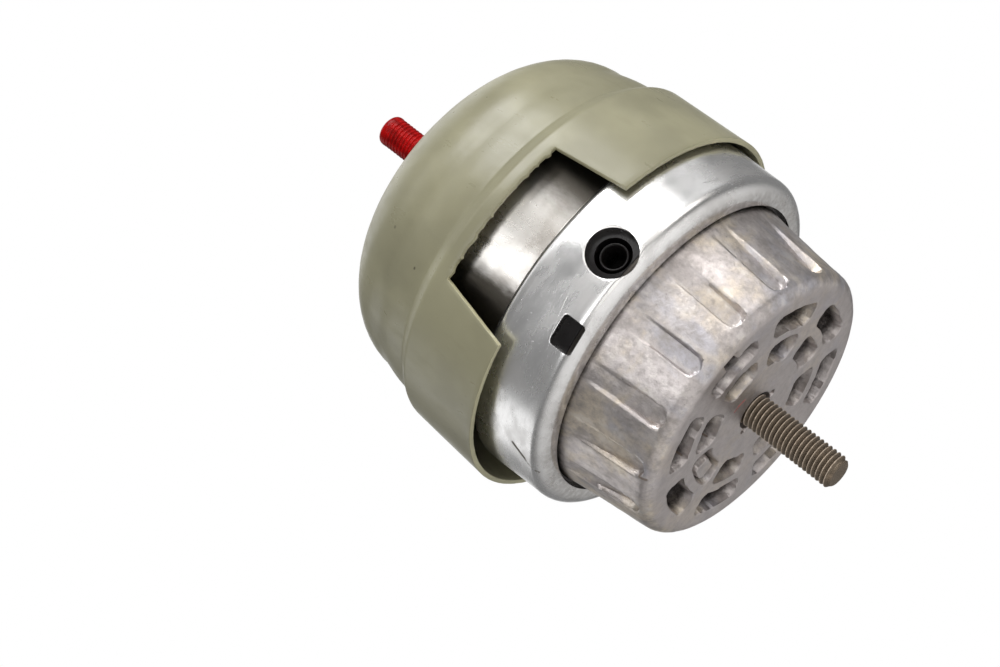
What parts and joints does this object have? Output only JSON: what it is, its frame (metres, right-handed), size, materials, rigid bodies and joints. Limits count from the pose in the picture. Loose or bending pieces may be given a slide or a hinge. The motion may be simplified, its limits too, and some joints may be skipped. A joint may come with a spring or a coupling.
{
  "type": "engine mount",
  "caption": "Hydraulic engine mount with a ribbed die-cast base, rolled collar, vacuum port, moulded heat shield and a threaded stud at each end.",
  "frame": {"origin": "centre of the base casting's flat underside, on the axis of the lower stud", "axes": "+Z along the axis, up through the dome and the upper stud; -Y through the middle of the shield's window, towards the port and the slot; +X from the slot towards the port"},
  "size_m": [0.119, 0.1179, 0.1732],
  "materials": {
    "shield_plastic": "moulded, satin, olive green",
    "cap_plastic": "thin glossy red sleeve",
    "stud_steel": "phosphated, grey-brown",
    "spring_steel": "plain spring steel",
    "housing_steel": "deep-drawn sheet, shiny",
    "collar_aluminium": "rolled, bright",
    "cast_aluminium": "die-cast, satin, stained",
    "machined_aluminium": "machined",
    "black_plastic": "glass-filled, black",
    "spring_rubber": "natural rubber, black",
    "seal_rubber": "smooth, black"
  },
  "bodies": {
    "root": {"heat_shield": "shield_plastic", "shield_retainer": "spring_steel", "thread_cap": "cap_plastic", "upper_stud": "stud_steel", "core": "machined_aluminium", "stop_buffer": "spring_rubber", "main_spring": "spring_rubber", "spring_ring": "machined_aluminium", "spring_housing": "housing_steel", "collar": "collar_aluminium", "channel_cover": "machined_aluminium", "channel_seal": "seal_rubber", "decoupler_membrane": "seal_rubber", "channel_plate": "black_plastic", "vacuum_port": "black_plastic", "port_seal": "seal_rubber", "bellows_ring": "spring_steel", "bellows": "seal_rubber", "base_casting": "cast_aluminium", "lower_stud": "stud_steel"}
  },
  "joints": []
}
